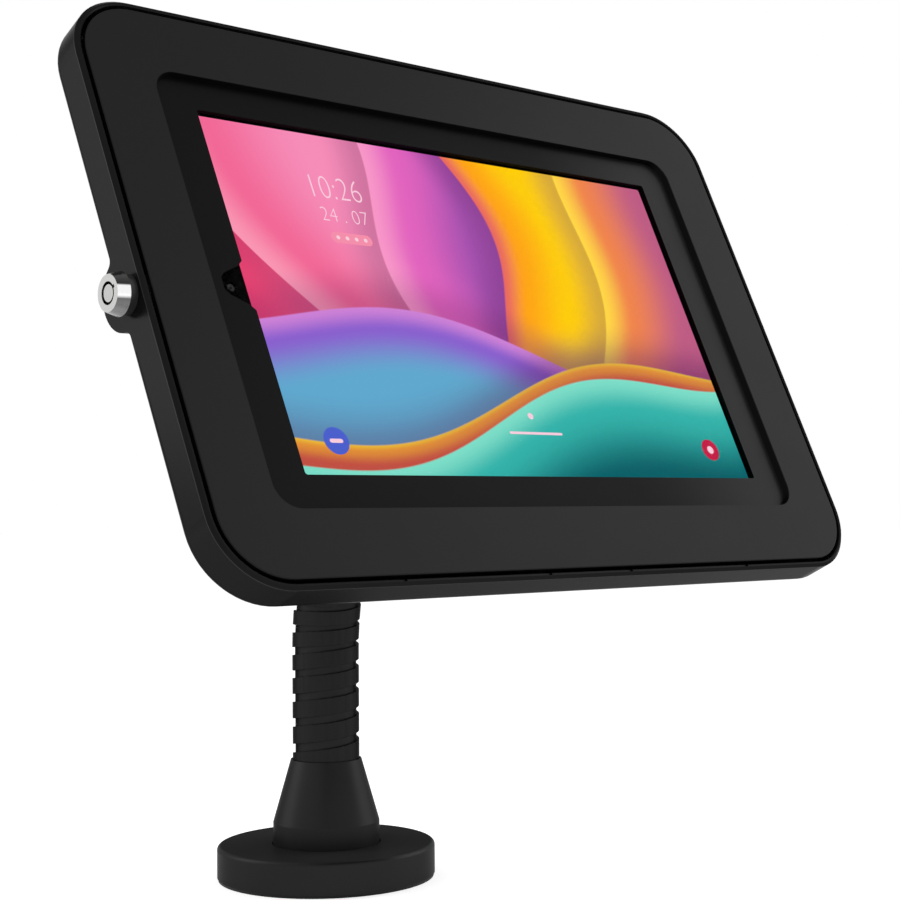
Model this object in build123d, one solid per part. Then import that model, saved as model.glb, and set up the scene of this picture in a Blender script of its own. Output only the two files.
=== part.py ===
from build123d import *
import os
from math import ceil, cos, exp, hypot, log, pi, radians, sin

# A kiosk stand that holds a tablet in a locked steel tray on a bendable neck.
# The origin is the middle of the foot's underside, on the counter. +Z is up,
# the screen faces -Y, and +X is on the right of someone who reads the screen.

os.makedirs("parts", exist_ok=True)

# Sizes that several pieces share
overrun = 5.0
running_gap = 0.3
screw_gap = 0.1
cable_bore = 7.2

# Foot
foot_diameter = 88.0
foot_height = 14.0
foot_edge_round = 1.8
foot_wall = 3.0
foot_plate_thickness = 8.0
foot_seal_height = 1.2
foot_bolt_circle = 60.0
foot_bolt_hole = 5.0
foot_bolt_count = 4
foot_bore = 12.0
grommet_bore = 8.0
grommet_flange_diameter = 17.0
grommet_flange_height = 1.5

# Cone ferrules at both ends of the neck
collar_diameter = 43.0
collar_slit = 0.5
collar_top = 22.7
cone_top = 48.0
cone_top_diameter = 28.6
ferrule_wall = 2.0
ferrule_throat = 27.6
throat_depth = 6.0
head_cone_length = 14.0
sleeve_tuck = 4.0

# Neck: its centre line rises straight, then bends forward in one arc
tilt = 26.0
neck_rise = 43.0
neck_bend_radius = 127.4
neck_joint_count = 12
link_diameter = 20.0
ball_diameter = 15.0
socket_rim = 2.5
link_waist = 5.4
link_shoulder_drop = 0.8
hose_outer_diameter = 24.8
hose_inner_diameter = 21.2
coil_outer_diameter = 27.0
coil_seat = 0.15
coil_pitch_low = 10.8
coil_pitch_high = 8.0
coil_pitch_run = 70.0
coil_band_share = 0.68
coil_start_angle = 178.0
coil_steps_per_turn = 24

# Posts and flange that carry the neck's ends
post_flange_diameter = 38.0
post_flange_thickness = 4.0
post_screw_circle = 29.0
post_screw_count = 3
hub_length = 24.3
flange_diameter = 76.0
flange_thickness = 4.0
flange_screw_circle = 62.0
flange_screw_count = 4
screw_diameter = 4.0
screw_head_diameter = 7.6
screw_head_depth = 1.8
stem_screw_length = 7.5
socket_screw_length = 11.5
flange_screw_length = 5.6

# Faceplate: a pressed plate with a sunk panel and the screen opening. The display
# leads every width and height of it, by the margins from one edge to the next.
display_width = 217.4
display_height = 135.9
display_rise = 0.44
opening_side_margin = 0.5
opening_end_margin = 0.55
recess_side_margin = 15.6
recess_end_margin = 12.5
face_side_margin = 23.2
face_end_margin = 23.4
face_corner = 22.0
face_thickness = 1.6
face_edge_round = 0.5
recess_corner = 9.0
recess_depth = 2.5
recess_side_slope = 1.5
recess_end_slope = 0.2
opening_corner = 1.0
notch_depth = 10.0
notch_mouth = 18.6
notch_end = 8.4
notch_shoulder = 2.0
notch_tip = 1.8

# Hook tabs on the faceplate's lower edge, and their slots in the tray
tab_places_share = (-0.578, -0.15, 0.118, 0.546)
tab_width = 2.2
tab_thickness = 1.2
tab_reach = 1.3
tab_setback = 1.2
tab_drop = 1.2
slot_side_gap = 0.3
slot_top_gap = 0.4
slot_bottom_gap = 1.0
slot_skin = 0.5
relief_depth = 0.9
swing_axis_depth = 0.7

# Tray
lip_gap = 1.3
tray_wall = 2.1
tray_depth = 16.0
tray_floor = 2.0
lip_chamfer = 1.1
lip_break = 0.35
back_round = 4.3
floor_round = 2.2

# Lock, in the left wall of the tray
lock_drop = 3.0
lock_depth = 8.9
lock_reach = 6.85
lock_body_diameter = 10.4
lock_face_diameter = 11.8
lock_base_diameter = 14.2
lock_length = 17.4
lock_seat_diameter = 12.8
lock_seat_thickness = 2.9
keyway_diameter = 7.1
key_post_diameter = 5.5
keyway_depth = 4.2
key_index_width = 1.1
key_index_reach = 4.3
key_index_angle = 3.0
post_setback = 0.2
nut_across_flats = 12.8
nut_sides = 6
nut_thickness = 3.0
washer_thickness = 0.6
washer_diameter = 14.6
boss_drop = 1.4
boss_depth = 11.0
boss_radius = 12.2
boss_wall = 1.5
boss_length = 26.0
boss_blend = 3.0
boss_shoulder_drop = 1.3
boss_shoulder_width = 40.0
cam_radius = 5.2
cam_width = 4.4
cam_thickness = 1.2
cam_hub_diameter = 7.0
cam_setback = 0.4
tang_size = 3.4
cam_screw_head_diameter = 6.0
cam_screw_head_height = 1.6
cam_screw_diameter = 2.0
cam_screw_length = 6.0
catch_thickness = 1.2
catch_width = 5.0
catch_side_gap = 0.5
catch_cam_gap = 0.4
catch_lip_gap = 1.6

# Tablet, as wide and high as its display and bezels
bezel_side = 13.9
bezel_end = 6.75
tablet_thickness = 7.5
tablet_corner = 9.0
tablet_back_round = 2.2
tablet_back_wall = 0.8
glass_clearance = 0.2
glass_thickness = 0.55
glass_inset = 0.7
glass_fit = 0.1
glass_ledge = 1.2
border_thickness = 0.1
display_thickness = 1.4
display_margin = 2.0
display_tray_gap = 2.5
display_tray_thickness = 0.8
battery_width_share = 0.365
battery_height_share = 0.8
battery_thickness = 3.0
battery_gap = 4.0
board_width = 22.0
board_height_share = 0.81
board_thickness = 1.6
board_edge_gap = 5.7
camera_margin = 6.1
camera_lens_diameter = 3.0
camera_body_diameter = 6.0
button_thickness = 1.8
button_proud = 0.7
button_inside = 1.2
button_rim = 0.5
button_gap = 0.2
button_travel = 0.4
power_button_width = 11.0
power_button_inset = 30.6
volume_button_width = 22.0
volume_button_inset = 56.6

# Foam that holds the tablet
corner_pad_arm = 14.0
corner_pad_height = 7.0
edge_pad_length_share = 0.245
edge_pad_width = 12.0
edge_pad_offset_share = 0.188
back_pad_diameter = 16.0
back_pad_places_share = ((-0.38, 0.34), (0, 0.38), (0.38, 0.34), (-0.38, -0.34), (0, -0.38), (0.38, -0.34))

# Sizes and places that follow from the ones above
opening_width = display_width + 2 * opening_side_margin
opening_height = display_height + 2 * opening_end_margin
recess_width = opening_width + 2 * recess_side_margin
recess_height = opening_height + 2 * recess_end_margin
face_width = recess_width + 2 * face_side_margin
face_height = recess_height + 2 * face_end_margin
tablet_width = display_width + 2 * bezel_side
tablet_height = display_height + 2 * bezel_end
camera_offset = display_width / 2 + camera_margin
bend_angle = 90.0 - tilt
neck_length = neck_rise + neck_bend_radius * radians(bend_angle)
joint_pitch = neck_length / neck_joint_count
bend_start = cone_top + neck_rise


def neck_point(distance):
    """the centre line's point and lean, at a distance along it from the lower cone's top"""
    if distance <= neck_rise:
        return Vector(0, 0, cone_top + distance), 0.0
    if distance <= neck_length:
        lean = (distance - neck_rise) / neck_bend_radius
        back = neck_bend_radius * (1 - cos(lean))
        return Vector(0, -back, bend_start + neck_bend_radius * sin(lean)), lean
    end, lean = neck_point(neck_length)
    return end + Vector(0, -sin(lean), cos(lean)) * (distance - neck_length), lean


def neck_plane(distance):
    """the plane across the neck: x along +X, z along the centre line"""
    point, lean = neck_point(distance)
    return Plane(origin=point, x_dir=(1, 0, 0), z_dir=(0, -sin(lean), cos(lean)))


head = neck_plane(neck_length)
panel = Plane(head.origin + head.z_dir * (hub_length + tray_depth), x_dir=head.x_dir, z_dir=head.z_dir)


def save(name, shape):
    """writes one piece, whose solids become the named node"""
    solids = shape.solids()
    whole = solids[0] if len(solids) == 1 else Compound(children=list(solids))
    whole.label = name
    export_step(whole, f"parts/{name}.step")


def disc(diameter, low, high):
    return Pos(0, 0, low) * extrude(Circle(diameter / 2), high - low)


def ring(outer, inner, low, high):
    return disc(outer, low, high) - disc(inner, low - overrun, high + overrun)


def turned(outline):
    """a solid of revolution about Z from radius and height points"""
    return revolve(Plane.XZ * make_face(Polyline(*outline, close=True)), Axis.Z)


def slab(width, height, corner, back, front):
    """a plate with round corners between two depths of the panel"""
    return Pos(0, 0, back) * extrude(RectangleRounded(width, height, corner), front - back)


def bar(x_range, y_range, z_range):
    """a block between three pairs of limits"""
    middle = [(low + high) / 2 for low, high in (x_range, y_range, z_range)]
    sides = [high - low for low, high in (x_range, y_range, z_range)]
    return Pos(*middle) * Box(*sides)


def around(circle, count, start=0.0):
    """places evenly spaced on a circle"""
    return [Rotation(0, 0, start + 360 * i / count) * Pos(circle / 2, 0, 0) for i in range(count)]


def flat_screw(length):
    """a countersunk screw with its head's top at the origin, pointing down"""
    head_half, shank_half = screw_head_diameter / 2, screw_diameter / 2
    return turned([(0, 0), (head_half, 0), (shank_half, -screw_head_depth), (shank_half, -length), (0, -length)])


def flat_hole(length):
    """the countersunk hole for such a screw"""
    head_half, shank_half = screw_head_diameter / 2 + screw_gap, screw_diameter / 2 + screw_gap
    return turned([(0, overrun), (head_half, overrun), (head_half, 0), (shank_half, -screw_head_depth),
                   (shank_half, -length), (0, -length)])


# Foot plate, tapped from below, with the neck's post screwed on top
plate_diameter = foot_diameter - 2 * foot_wall - 2 * screw_gap
foot_plate = ring(plate_diameter, foot_bore, 0, foot_plate_thickness)
for place in around(foot_bolt_circle, foot_bolt_count, 45):
    foot_plate -= place * disc(foot_bolt_hole, -overrun, foot_plate_thickness + overrun)
post_places = around(post_screw_circle, post_screw_count, 90)
for place in post_places:
    foot_plate -= place * Rotation(180, 0, 0) * flat_hole(foot_plate_thickness + overrun)
save("foot_plate", foot_plate)
save("socket_screws", Compound(children=[
    place * Rotation(180, 0, 0) * flat_screw(socket_screw_length) for place in post_places]))

# Rubber ring under the cover's rim
save("foot_seal", ring(foot_diameter - foot_edge_round / 2, plate_diameter + 2 * running_gap, 0, foot_seal_height))

# Turned cover with a rounded upper edge
foot_cover = disc(foot_diameter, foot_seal_height, foot_height)
foot_cover = fillet(foot_cover.edges().group_by(Axis.Z)[-1], foot_edge_round)
foot_cover -= disc(plate_diameter + 2 * screw_gap, 0, foot_plate_thickness)
foot_cover -= disc(collar_diameter + 2 * collar_slit, 0, foot_height + overrun)
save("foot_cover", foot_cover)

# Rubber bush in the cable hole
grommet_top = foot_plate_thickness + grommet_flange_height
foot_grommet = ring(foot_bore - 2 * screw_gap, grommet_bore, 0, foot_plate_thickness)
foot_grommet += ring(grommet_flange_diameter, grommet_bore, foot_plate_thickness, grommet_top)
save("foot_grommet", foot_grommet)

# Lower ferrule: a collar that stands on the plate, and a cone up to the neck
collar_half, cone_half, throat_half = collar_diameter / 2, cone_top_diameter / 2, ferrule_throat / 2
bore_half = collar_half - ferrule_wall
save("foot_ferrule", turned([
    (bore_half, foot_plate_thickness), (collar_half, foot_plate_thickness), (collar_half, collar_top),
    (cone_half, cone_top), (throat_half, cone_top), (throat_half, cone_top - throat_depth),
    (bore_half, collar_top - ferrule_wall / 2)]))

# Neck links: a ball below, a socket above, bored for the tablet's cable
ball_half = ball_diameter / 2
cavity_half = ball_half + running_gap
link_half = link_diameter / 2
waist_half = (ball_half ** 2 - link_waist ** 2) ** 0.5


def cup(post, height):
    """cuts a post's socket, whose ball centre lies at a height on its own axis"""
    post -= Pos(0, 0, height) * Sphere(cavity_half)
    return post - disc(cable_bore, -2 * neck_length, height + overrun)


def balled(top):
    """a ball at the origin, its waist, and a round bar from its shoulder up to a height"""
    shoulder = link_waist + link_shoulder_drop
    stalk = turned([(0, 0), (waist_half, 0), (waist_half, link_waist), (link_half, shoulder),
                    (link_half, top), (0, top)])
    return Sphere(ball_half) + stalk


joints_at = [joint_pitch * (i + 0.5) for i in range(neck_joint_count)]
for number in range(1, neck_joint_count):
    here, _ = neck_point(joints_at[number - 1])
    above, _ = neck_point(joints_at[number])
    span = (above - here).length
    place = Plane(origin=here, x_dir=(1, 0, 0), z_dir=(above - here).normalized())
    save(f"neck_link_{number:02d}", place * cup(balled(span + socket_rim), span))

# Post on the foot plate, with the neck's first socket
first_joint = cone_top + joints_at[0]
post_foot = foot_plate_thickness + post_flange_thickness
post = disc(post_flange_diameter, foot_plate_thickness, post_foot)
post -= disc(grommet_flange_diameter + 2 * running_gap, 0, grommet_top + running_gap)
post += disc(link_diameter, grommet_top + running_gap, first_joint + socket_rim)
for place in post_places:
    post -= place * disc(screw_diameter + 2 * screw_gap, 0, socket_screw_length + running_gap)
save("neck_socket", cup(post, first_joint))

# Hose over the links, tucked into both ferrules
hose_profile = Circle(hose_outer_diameter / 2) - Circle(hose_inner_diameter / 2)
hose = Pos(0, 0, cone_top - sleeve_tuck) * extrude(hose_profile, neck_rise + sleeve_tuck)
bend_axis = Axis((0, -neck_bend_radius, bend_start), (1, 0, 0))
hose += revolve(Pos(0, 0, bend_start) * hose_profile, bend_axis, bend_angle)
hose += head * extrude(hose_profile, sleeve_tuck)
save("neck_hose", hose)

# Flat strip wound round the hose, right-handed, its turns closer towards the top
pitch_fall = (coil_pitch_low - coil_pitch_high) / coil_pitch_run
turns_in_run = log(coil_pitch_low / coil_pitch_high) / pitch_fall


def coil_distance(turns):
    """how far along the neck the strip's middle is after some turns"""
    if turns < turns_in_run:
        return coil_pitch_low / pitch_fall * (1 - exp(-pitch_fall * turns))
    return coil_pitch_run + (turns - turns_in_run) * coil_pitch_high


def coil_pitch(distance):
    return max(coil_pitch_high, coil_pitch_low - pitch_fall * distance)


def coil_section(turns):
    """the strip's rectangle after some turns, and its four corners' middle"""
    distance = coil_distance(turns)
    point, lean = neck_point(distance) if distance > 0 else (Vector(0, 0, cone_top + distance), 0.0)
    angle = radians(coil_start_angle) + 2 * pi * turns
    along = Vector(0, -sin(lean), cos(lean))
    outward = Vector(cos(angle), sin(angle) * cos(lean), sin(angle) * sin(lean))
    half_width = coil_band_share * coil_pitch(distance) / 2
    inner, outer = hose_outer_diameter / 2 + coil_seat, coil_outer_diameter / 2
    corners = [point + outward * r + along * side for r, side in (
        (inner, -half_width), (outer, -half_width), (outer, half_width), (inner, half_width))]
    return Wire.make_polygon(corners, close=True), point + outward * outer, half_width


tuck_turns = (sleeve_tuck / 2) / coil_pitch_low
last_distance = neck_length + sleeve_tuck / 2
coil_turns = turns_in_run + (last_distance - coil_pitch_run) / coil_pitch_high
coil_steps = ceil((coil_turns + tuck_turns) * coil_steps_per_turn)
coil_marks = [-tuck_turns + (coil_turns + tuck_turns) * i / coil_steps for i in range(coil_steps + 1)]
coil_sections = [coil_section(turns) for turns in coil_marks]
save("neck_coil", Solid.make_loft([section[0] for section in coil_sections], ruled=True))
coil_gaps = [
    (high[1] - low[1]).length - low[2] - high[2]
    for low, high in zip(coil_sections, coil_sections[coil_steps_per_turn:])]
print(f"neck coil: {coil_turns + tuck_turns:.1f} turns, least gap to itself {min(coil_gaps):.2f} mm")

# Upper ferrule, the lower one turned over, against the flange
stem_top = hub_length - flange_thickness
save("head_ferrule", head * turned([
    (bore_half, stem_top), (collar_half, stem_top), (collar_half, head_cone_length),
    (cone_half, 0), (throat_half, 0), (throat_half, throat_depth),
    (bore_half, head_cone_length + ferrule_wall / 2)]))

# Post with the neck's last ball, screwed to the flange
last_joint, _ = neck_point(joints_at[-1])
ball_depth = (head.origin - last_joint).length
last_axis = (head.origin - last_joint).normalized()
ball_place = Plane(origin=last_joint, x_dir=(1, 0, 0), z_dir=last_axis)
stem = ball_place * balled(ball_depth)
stem += head * disc(link_diameter, 0, stem_top)
stem += head * disc(post_flange_diameter, stem_top - post_flange_thickness, stem_top)
stem -= head * disc(cable_bore, -sleeve_tuck, stem_top + overrun)
stem -= ball_place * disc(cable_bore, -ball_diameter, ball_depth)
stem_places = [place * Pos(0, 0, hub_length) for place in post_places]
for place in stem_places:
    stem -= head * place * flat_hole(stem_screw_length + running_gap)
save("head_stem", stem)

# Flange between the neck and the tray
flange = ring(flange_diameter, grommet_bore, stem_top, hub_length)
flange_places = [place * Pos(0, 0, hub_length + tray_floor)
                 for place in around(flange_screw_circle, flange_screw_count, 45)]
for place in stem_places:
    flange -= place * flat_hole(stem_screw_length + running_gap)
for place in flange_places:
    flange -= place * flat_hole(flange_screw_length + overrun)
save("mount_flange", head * flange)
save("stem_screws", Compound(children=[head * place * flat_screw(stem_screw_length) for place in stem_places]))
save("flange_screws", Compound(children=[head * place * flat_screw(flange_screw_length) for place in flange_places]))

# Tray: outer shell, pocket, lip chamfer and rolled back edge
tray_side = lip_gap + tray_wall
tray_width, tray_height = face_width + 2 * tray_side, face_height + 2 * tray_side
tray = slab(tray_width, tray_height, face_corner + tray_side, -tray_depth, 0)
tray = fillet(tray.edges().group_by(Axis.Z)[0], back_round)
tray = chamfer(tray.edges().group_by(Axis.Z)[-1], lip_chamfer)
left_face = -tray_width / 2
lock_axis = Pos(left_face, -lock_drop, -lock_depth) * Rotation(0, -90, 0)

# The lock's half-round housing stands out behind the tray's left edge. In the
# sketch plane x runs to the panel's front and y down the panel's side.
housing_plane = Plane(origin=(left_face, -boss_drop, -boss_depth), x_dir=(0, 1, 0), z_dir=(1, 0, 0))
shoulder_low = tray_depth - boss_depth - back_round + boss_shoulder_drop
housing_sketch = Circle(boss_radius) & Pos(0, -boss_radius / 2) * Rectangle(2 * boss_radius, boss_radius)
housing_sketch += Pos(0, -shoulder_low / 2) * Rectangle(boss_shoulder_width, shoulder_low)
concave = [v for v in housing_sketch.vertices()
           if abs(abs(v.X) - (boss_radius ** 2 - shoulder_low ** 2) ** 0.5) < running_gap]
housing_sketch = fillet(concave, boss_blend)
tray += housing_plane * extrude(housing_sketch, boss_length)
pocket_width, pocket_height = face_width + 2 * lip_gap, face_height + 2 * lip_gap
pocket_corner = face_corner + lip_gap
pocket = slab(pocket_width, pocket_height, pocket_corner, tray_floor - tray_depth, overrun)
pocket = fillet(pocket.edges().group_by(Axis.Z)[0], floor_round)
tray -= pocket


def lip_outline(side):
    """the pocket's mouth, one break below (side -1) or above (side 1) the lip's front"""
    wider = (1 + side) * lip_break
    outline = RectangleRounded(pocket_width + 2 * wider, pocket_height + 2 * wider, pocket_corner + wider)
    return Pos(0, 0, side * lip_break) * outline


tray -= loft([lip_outline(-1), lip_outline(1)], ruled=True)
tray -= housing_plane * disc(2 * (boss_radius - boss_wall), tray_wall, boss_length - boss_wall)
tray -= lock_axis * disc(lock_body_diameter + 2 * screw_gap, -boss_length / 2, overrun)

# Slots under the lower lip for the hook tabs, and the reliefs that let them in
lip_inner = -pocket_height / 2
tab_top = -face_thickness - tab_drop
tab_places = [share * face_width / 2 for share in tab_places_share]
slot_half = tab_width / 2 + slot_side_gap
for place in tab_places:
    sides = (place - slot_half, place + slot_half)
    tray -= bar(sides, (lip_inner - tray_wall + slot_skin, lip_inner + overrun),
                (tab_top - tab_thickness - slot_bottom_gap, tab_top + slot_top_gap))
    tray -= bar(sides, (lip_inner - relief_depth, lip_inner + overrun), (-relief_depth, overrun))

# Holes for the flange screws and the cable
tray_back = Pos(0, 0, -hub_length - tray_depth)
for place in flange_places:
    tray -= tray_back * place * flat_hole(flange_screw_length)
tray -= disc(foot_bore, -tray_depth - overrun, 0)
save("rear_tray", panel * tray)
floor_top = tray_floor - tray_depth
tray_grommet = ring(foot_bore - 2 * screw_gap, grommet_bore, -tray_depth, floor_top)
tray_grommet += ring(grommet_flange_diameter, grommet_bore, floor_top, floor_top + grommet_flange_height / 2)
save("tray_grommet", panel * tray_grommet)

# Faceplate: plate and sunk panel, then the recess, the opening and the camera notch
pan_back = -recess_depth - face_thickness
faceplate = slab(face_width, face_height, face_corner, -face_thickness, 0)
faceplate = fillet(faceplate.edges().group_by(Axis.Z)[-1], face_edge_round)
faceplate += slab(recess_width + 2 * face_thickness, recess_height + 2 * face_thickness,
                  recess_corner + face_thickness, pan_back, -face_thickness)
middle_slope = (recess_side_slope + recess_end_slope) / 2


def recess_outline(side):
    """the recess's outline one depth below (side -1) or above (side 1) the plate's face"""
    outline = RectangleRounded(recess_width + 2 * side * recess_side_slope,
                               recess_height + 2 * side * recess_end_slope,
                               recess_corner + side * middle_slope)
    return Pos(0, 0, side * recess_depth) * outline


faceplate -= loft([recess_outline(-1), recess_outline(1)], ruled=True)
opening_left = -opening_width / 2
notch = make_face(Polyline(
    (opening_left + notch_shoulder, notch_mouth / 2), (opening_left, notch_mouth / 2),
    (opening_left - notch_shoulder, notch_mouth / 2 - notch_shoulder),
    (opening_left - notch_depth + notch_tip, notch_end / 2), (opening_left - notch_depth, notch_end / 2 - notch_tip),
    (opening_left - notch_depth, notch_tip - notch_end / 2), (opening_left - notch_depth + notch_tip, -notch_end / 2),
    (opening_left - notch_shoulder, notch_shoulder - notch_mouth / 2), (opening_left, -notch_mouth / 2),
    (opening_left + notch_shoulder, -notch_mouth / 2), close=True))
opening_sketch = Pos(0, display_rise) * (RectangleRounded(opening_width, opening_height, opening_corner) + notch)
faceplate -= Pos(0, 0, pan_back - overrun) * extrude(opening_sketch, overrun - pan_back + overrun)
save("faceplate", panel * faceplate)

# Hook tabs, welded behind the plate's lower edge
plate_edge = -face_height / 2
leg_range = (plate_edge + tab_setback, plate_edge + tab_setback + tab_thickness)
hooks = []
for place in tab_places:
    sides = (place - tab_width / 2, place + tab_width / 2)
    hook = bar(sides, leg_range, (tab_top - tab_thickness, -face_thickness))
    hook += bar(sides, (lip_inner - tab_reach, leg_range[1]), (tab_top - tab_thickness, tab_top))
    hooks.append(panel * hook)
save("hook_tabs", Compound(children=hooks))

# Catch: a leg behind the plate with a lip that the lock's cam slides over
cam_top = -lock_length - cam_setback
cam_side = left_face - cam_top
leg_start = -lock_drop + cam_radius + catch_side_gap
lip_top = -lock_depth - cam_width / 2 - catch_cam_gap
lip_start = -lock_drop + cam_width / 2 + catch_lip_gap
catch_sides = (cam_side - screw_gap, cam_side - screw_gap + catch_width)
catch = bar(catch_sides, (leg_start, leg_start + catch_thickness), (lip_top - catch_thickness, -face_thickness))
catch += bar(catch_sides, (lip_start, leg_start + catch_thickness), (lip_top - catch_thickness, lip_top))
save("catch_bracket", panel * catch)

# Lock: black seat, silver barrel, washer and nut. Its z runs out of the tray's wall.
save("lock_seat", panel * lock_axis * ring(
    lock_seat_diameter, lock_body_diameter + 2 * screw_gap, 0, lock_seat_thickness))
base_half, lock_half = lock_base_diameter / 2, lock_body_diameter / 2
plug_floor = lock_reach - keyway_depth
barrel = turned([
    (0, -lock_length), (lock_half, -lock_length), (lock_half, lock_seat_thickness),
    (base_half, lock_seat_thickness), (lock_face_diameter / 2, lock_reach), (0, lock_reach)])
barrel -= disc(keyway_diameter + 2 * screw_gap, -lock_length - overrun, lock_reach + overrun)
index_sides = (-key_index_width / 2, key_index_width / 2)
barrel -= Rotation(0, 0, key_index_angle) * bar((0, key_index_reach), index_sides, (plug_floor, lock_reach + overrun))
save("lock_barrel", panel * lock_axis * barrel)
washer_back = -tray_wall - washer_thickness
save("lock_washer", panel * lock_axis * ring(
    washer_diameter, lock_body_diameter + 2 * screw_gap, washer_back, -tray_wall))
nut = Pos(0, 0, washer_back - nut_thickness) * Rotation(0, 0, 180 / nut_sides) * extrude(
    RegularPolygon(nut_across_flats / 2, nut_sides, major_radius=False), nut_thickness)
nut -= disc(lock_body_diameter + 2 * screw_gap, washer_back - nut_thickness - overrun, 0)
save("lock_nut", panel * lock_axis * nut)

# Lock core: the plug that the key turns, its cam and the cam's screw
cam_back = cam_top - cam_thickness
plug = disc(keyway_diameter, -lock_length, plug_floor)
plug += disc(key_post_diameter, plug_floor, lock_reach - post_setback)
plug += disc(cam_hub_diameter - running_gap, cam_top, -lock_length)
plug += bar((-tang_size / 2, tang_size / 2), (-tang_size / 2, tang_size / 2), (cam_back, cam_top))
plug -= disc(cam_screw_diameter + screw_gap, cam_back - overrun, cam_back + cam_screw_length + running_gap)
save("lock_plug", panel * lock_axis * plug)
cam = disc(cam_hub_diameter, cam_back, cam_top)
cam += bar((0, cam_radius - cam_width / 2), (-cam_width / 2, cam_width / 2), (cam_back, cam_top))
cam += Pos(cam_radius - cam_width / 2, 0, 0) * disc(cam_width, cam_back, cam_top)
tang_hole = (-tang_size / 2 - screw_gap, tang_size / 2 + screw_gap)
cam -= bar(tang_hole, tang_hole, (cam_back - overrun, cam_top + overrun))
save("lock_cam", panel * lock_axis * cam)
cam_screw = disc(cam_screw_head_diameter, cam_back - cam_screw_head_height, cam_back)
cam_screw += disc(cam_screw_diameter, cam_back, cam_back + cam_screw_length)
save("cam_screw", panel * lock_axis * cam_screw)

# Tablet: back housing with a seat for the glass, in the panel's frame
tablet = panel * Pos(0, display_rise, 0)
glass_front = pan_back - glass_clearance
glass_back = glass_front - glass_thickness
tablet_back = glass_front - tablet_thickness
cavity_floor = tablet_back + tablet_back_wall
housing = slab(tablet_width, tablet_height, tablet_corner, tablet_back, glass_front - glass_fit)
housing = fillet(housing.edges().group_by(Axis.Z)[0], tablet_back_round)
glass_width, glass_height = tablet_width - 2 * glass_inset, tablet_height - 2 * glass_inset
glass_corner = tablet_corner - glass_inset
housing -= slab(glass_width + 2 * glass_fit, glass_height + 2 * glass_fit, glass_corner + glass_fit,
                glass_back, glass_front + overrun)
inner_width, inner_height = glass_width - 2 * glass_ledge, glass_height - 2 * glass_ledge
inner_corner = glass_corner - glass_ledge
housing -= slab(inner_width, inner_height, inner_corner, cavity_floor, glass_front + overrun)

# Two sprung keys in the tablet's upper edge, and their slots
button_middle = (tablet_back + glass_back) / 2
tablet_top = tablet_height / 2
buttons = {"power_button": (power_button_inset, power_button_width),
           "volume_button": (volume_button_inset, volume_button_width)}
inner_top = inner_height / 2
for name, (inset, width) in buttons.items():
    offset, half, thick = inset - tablet_width / 2, width / 2, button_thickness / 2
    housing -= bar((offset - half - button_gap, offset + half + button_gap),
                   (inner_top - overrun, tablet_top + overrun),
                   (button_middle - thick - button_gap, button_middle + thick + button_gap))
    key = bar((offset - half, offset + half), (inner_top - button_inside + button_travel, tablet_top + button_proud),
              (button_middle - thick, button_middle + thick))
    key += bar((offset - half - button_rim, offset + half + button_rim),
               (inner_top - button_inside, inner_top - button_inside + button_travel * 2),
               (button_middle - thick - button_rim, button_middle + thick + button_rim))
    save(name, tablet * key)
save("tablet_housing", tablet * housing)

# Glass and the black border printed behind it
save("tablet_glass", tablet * slab(glass_width, glass_height, glass_corner, glass_back, glass_front))
border_back = glass_back - border_thickness
border = slab(inner_width - 2 * glass_fit, inner_height - 2 * glass_fit, inner_corner, border_back, glass_back)
border -= slab(display_width, display_height, opening_corner, border_back - overrun, glass_back + overrun)
border -= Pos(-camera_offset, 0, 0) * disc(camera_lens_diameter, border_back - overrun, glass_back + overrun)
save("glass_border", tablet * border)

# Display, its tray, the front camera, battery cells and main board
display_back = border_back - display_thickness
save("display_panel", tablet * slab(
    display_width + display_margin, display_height + display_margin, opening_corner, display_back, border_back))
save("display_tray", tablet * slab(
    inner_width - 2 * display_tray_gap, inner_height - 2 * display_tray_gap, inner_corner - display_tray_gap,
    display_back - display_tray_thickness, display_back))
camera = disc(camera_body_diameter, display_back, border_back)
camera += disc(camera_lens_diameter - 2 * glass_fit, border_back, glass_back)
save("front_camera", tablet * Pos(-camera_offset, 0, 0) * camera)
battery_width = battery_width_share * inner_width
cell = slab(battery_width, battery_height_share * inner_height, opening_corner,
            cavity_floor, cavity_floor + battery_thickness)
save("tablet_battery", Compound(children=[
    tablet * Pos(side * (battery_width + battery_gap) / 2 - board_width / 2, 0, 0) * cell for side in (-1, 1)]))
board_offset = inner_width / 2 - board_edge_gap - board_width / 2
save("main_board", tablet * Pos(board_offset, 0, 0) * slab(
    board_width, board_height_share * inner_height, opening_corner, cavity_floor, cavity_floor + board_thickness))

# Foam pads on the tray's floor
tablet_space = slab(tablet_width + 2 * running_gap, tablet_height + 2 * running_gap,
                    tablet_corner + running_gap, tablet_back - overrun, overrun)
corner_pads = []
for side in (-1, 1):
    for end in (-1, 1):
        block = Pos(side * tablet_width / 2, end * tablet_height / 2, floor_top + corner_pad_height / 2) * Box(
            2 * corner_pad_arm, 2 * corner_pad_arm, corner_pad_height)
        corner_pads.append(tablet * (block - tablet_space))
save("corner_pads", Compound(children=corner_pads))
pad_reach = tablet_height / 2 + running_gap
pad_half = edge_pad_length_share * tablet_width / 2
edge_pads = []
for side, end in ((1, 1), (-1, -1), (1, -1)):
    middle = side * edge_pad_offset_share * tablet_width
    limits = sorted((end * pad_reach, end * (pad_reach + edge_pad_width)))
    edge_pads.append(tablet * bar((middle - pad_half, middle + pad_half), limits,
                                  (floor_top, floor_top + corner_pad_height)))
save("edge_pads", Compound(children=edge_pads))
save("back_pads", Compound(children=[
    tablet * Pos(across * tablet_width, up * tablet_height, 0) * disc(back_pad_diameter, floor_top, tablet_back)
    for across, up in back_pad_places_share]))

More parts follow.
